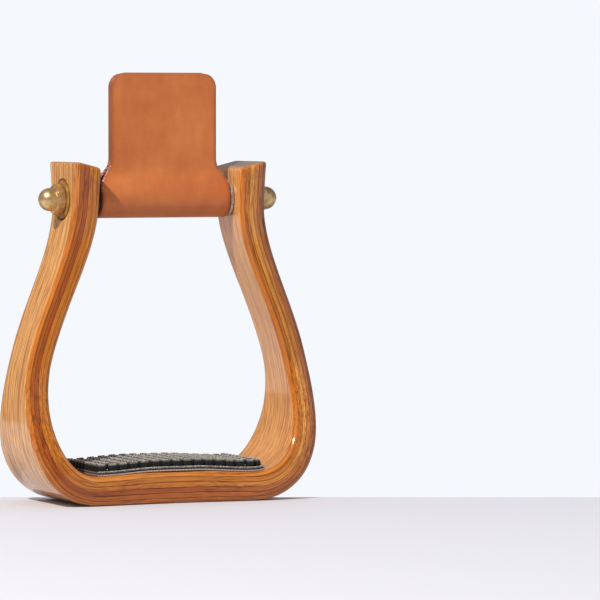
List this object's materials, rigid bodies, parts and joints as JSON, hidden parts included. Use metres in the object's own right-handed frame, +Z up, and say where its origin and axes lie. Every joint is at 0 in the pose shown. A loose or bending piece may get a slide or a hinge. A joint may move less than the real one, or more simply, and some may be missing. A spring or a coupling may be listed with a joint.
{
  "type": "stirrup iron",
  "caption": "Laminated bent-wood riding stirrup: bell-shaped bow, leather-wrapped roller on a through bolt, studded rubber tread pad.",
  "frame": {"origin": "on the floor under the middle of the tread", "axes": "+X along the tread and the roller, +Y through the foot opening towards the back, +Z up towards the roller"},
  "size_m": [0.1642, 0.059, 0.2262],
  "materials": {
    "wood_honey": "gloss varnish over honey hardwood",
    "wood_red": "gloss varnish over red-brown hardwood",
    "wood_golden": "gloss varnish over golden hardwood",
    "brass": "polished",
    "steel": "zinc-plated",
    "leather": "vegetable-tanned, burnished edges",
    "rubber": "matt, worn stud tops",
    "canvas": "woven backing cloth"
  },
  "bodies": {
    "bow": {"bow_ply_1": "wood_honey", "bow_ply_2": "wood_golden", "bow_ply_3": "wood_red", "bow_ply_4": "wood_golden", "bow_ply_5": "wood_honey", "bow_ply_6": "wood_honey", "inner_washer_left": "steel", "inner_washer_right": "steel", "outer_washer_left": "brass", "outer_washer_right": "brass", "cap_nut_left": "brass", "cap_nut_right": "brass", "through_bolt": "steel", "tread_backing": "canvas", "tread_cover": "rubber", "tread_nail_1": "steel", "tread_nail_2": "steel", "tread_nail_3": "steel", "tread_nail_4": "steel"},
    "sleeve": {"roller_sleeve": "steel"},
    "wrap": {"leather_wrap": "leather"}
  },
  "joints": [
    {"name": "sleeve_spin", "type": "hinge", "parent": "bow", "child": "sleeve", "pos_m": [0, 0, 0.1596], "axis": [1, 0, 0], "continuous": true},
    {"name": "wrap_swing", "type": "hinge", "parent": "bow", "child": "wrap", "pos_m": [0, 0, 0.1596], "axis": [1, 0, 0], "continuous": true}
  ]
}
